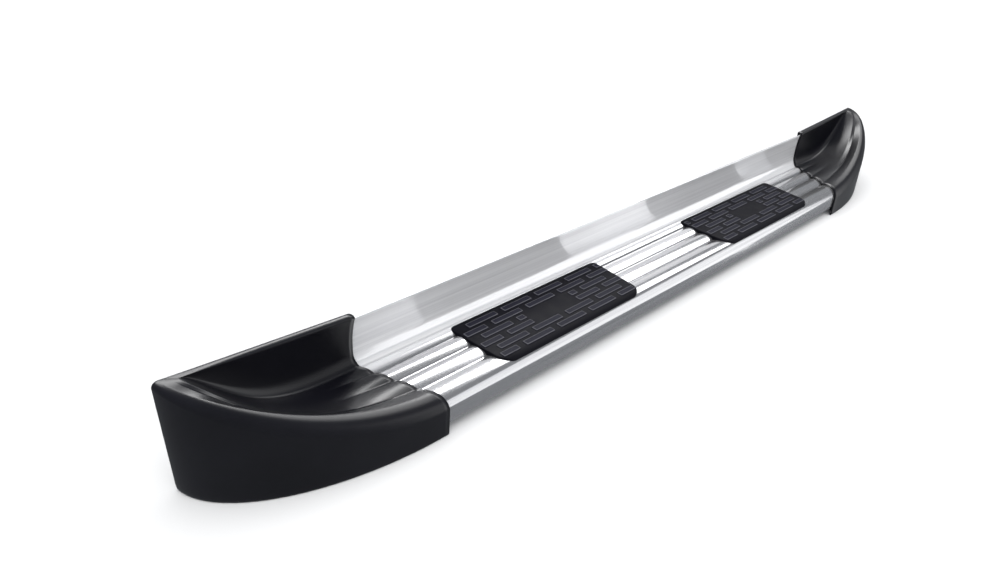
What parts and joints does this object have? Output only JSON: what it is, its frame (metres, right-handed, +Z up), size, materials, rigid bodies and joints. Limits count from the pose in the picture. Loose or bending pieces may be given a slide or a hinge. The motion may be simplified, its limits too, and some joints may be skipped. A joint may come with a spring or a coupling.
{
  "type": "vehicle running board",
  "caption": "Truck running board: ribbed polished steel step with splash wall, black scoop end caps, brick-tread rubber pads and sliding mounting bolts.",
  "frame": {"origin": "under the middle of the board, on the surface that the end caps stand on", "axes": "+X along the board, -Y the outer side, +Y the vehicle side, +Z up"},
  "size_m": [1.9858, 0.1556, 0.1739],
  "materials": {
    "polished_stainless": "polished stainless sheet with fine lengthwise grain",
    "black_moulding": "satin black moulded plastic",
    "pad_rubber": "moulded black rubber with brick tread",
    "zinc_plate": "zinc-plated steel sheet",
    "bolt_zinc": "bright zinc-plated steel",
    "spring_steel": "dark phosphated spring steel",
    "black_nylon": "black nylon"
  },
  "bodies": {
    "root": {"step_skin": "polished_stainless", "end_cap_left": "black_moulding", "step_pad_left": "pad_rubber", "pad_push_nuts_left": "spring_steel", "bulkhead_left": "zinc_plate", "cap_clips_left": "spring_steel", "cap_screws_left": "bolt_zinc", "end_cap_right": "black_moulding", "step_pad_right": "pad_rubber", "pad_push_nuts_right": "spring_steel", "bulkhead_right": "zinc_plate", "cap_clips_right": "spring_steel", "cap_screws_right": "bolt_zinc", "front_rail": "zinc_plate", "rear_rail": "zinc_plate", "gusset_left_outer": "zinc_plate", "gusset_left_inner": "zinc_plate", "gusset_right_inner": "zinc_plate", "gusset_right_outer": "zinc_plate"},
    "slide_bolt_front_left": {"t_bolt_front_left": "bolt_zinc", "bolt_carrier_front_left": "black_nylon"},
    "slide_bolt_front_centre": {"t_bolt_front_centre": "bolt_zinc", "bolt_carrier_front_centre": "black_nylon"},
    "slide_bolt_front_right": {"t_bolt_front_right": "bolt_zinc", "bolt_carrier_front_right": "black_nylon"},
    "slide_bolt_rear_left": {"t_bolt_rear_left": "bolt_zinc", "bolt_carrier_rear_left": "black_nylon"},
    "slide_bolt_rear_centre": {"t_bolt_rear_centre": "bolt_zinc", "bolt_carrier_rear_centre": "black_nylon"},
    "slide_bolt_rear_right": {"t_bolt_rear_right": "bolt_zinc", "bolt_carrier_rear_right": "black_nylon"}
  },
  "joints": [
    {"name": "front_left_bolt_slide", "type": "slide", "parent": "root", "child": "slide_bolt_front_left", "axis": [1, 0, 0], "range_m": [-0.19, 0.19]},
    {"name": "front_centre_bolt_slide", "type": "slide", "parent": "root", "child": "slide_bolt_front_centre", "axis": [1, 0, 0], "range_m": [-0.19, 0.19]},
    {"name": "front_right_bolt_slide", "type": "slide", "parent": "root", "child": "slide_bolt_front_right", "axis": [1, 0, 0], "range_m": [-0.19, 0.19]},
    {"name": "rear_left_bolt_slide", "type": "slide", "parent": "root", "child": "slide_bolt_rear_left", "axis": [1, 0, 0], "range_m": [-0.19, 0.19]},
    {"name": "rear_centre_bolt_slide", "type": "slide", "parent": "root", "child": "slide_bolt_rear_centre", "axis": [1, 0, 0], "range_m": [-0.19, 0.19]},
    {"name": "rear_right_bolt_slide", "type": "slide", "parent": "root", "child": "slide_bolt_rear_right", "axis": [1, 0, 0], "range_m": [-0.19, 0.19]}
  ]
}
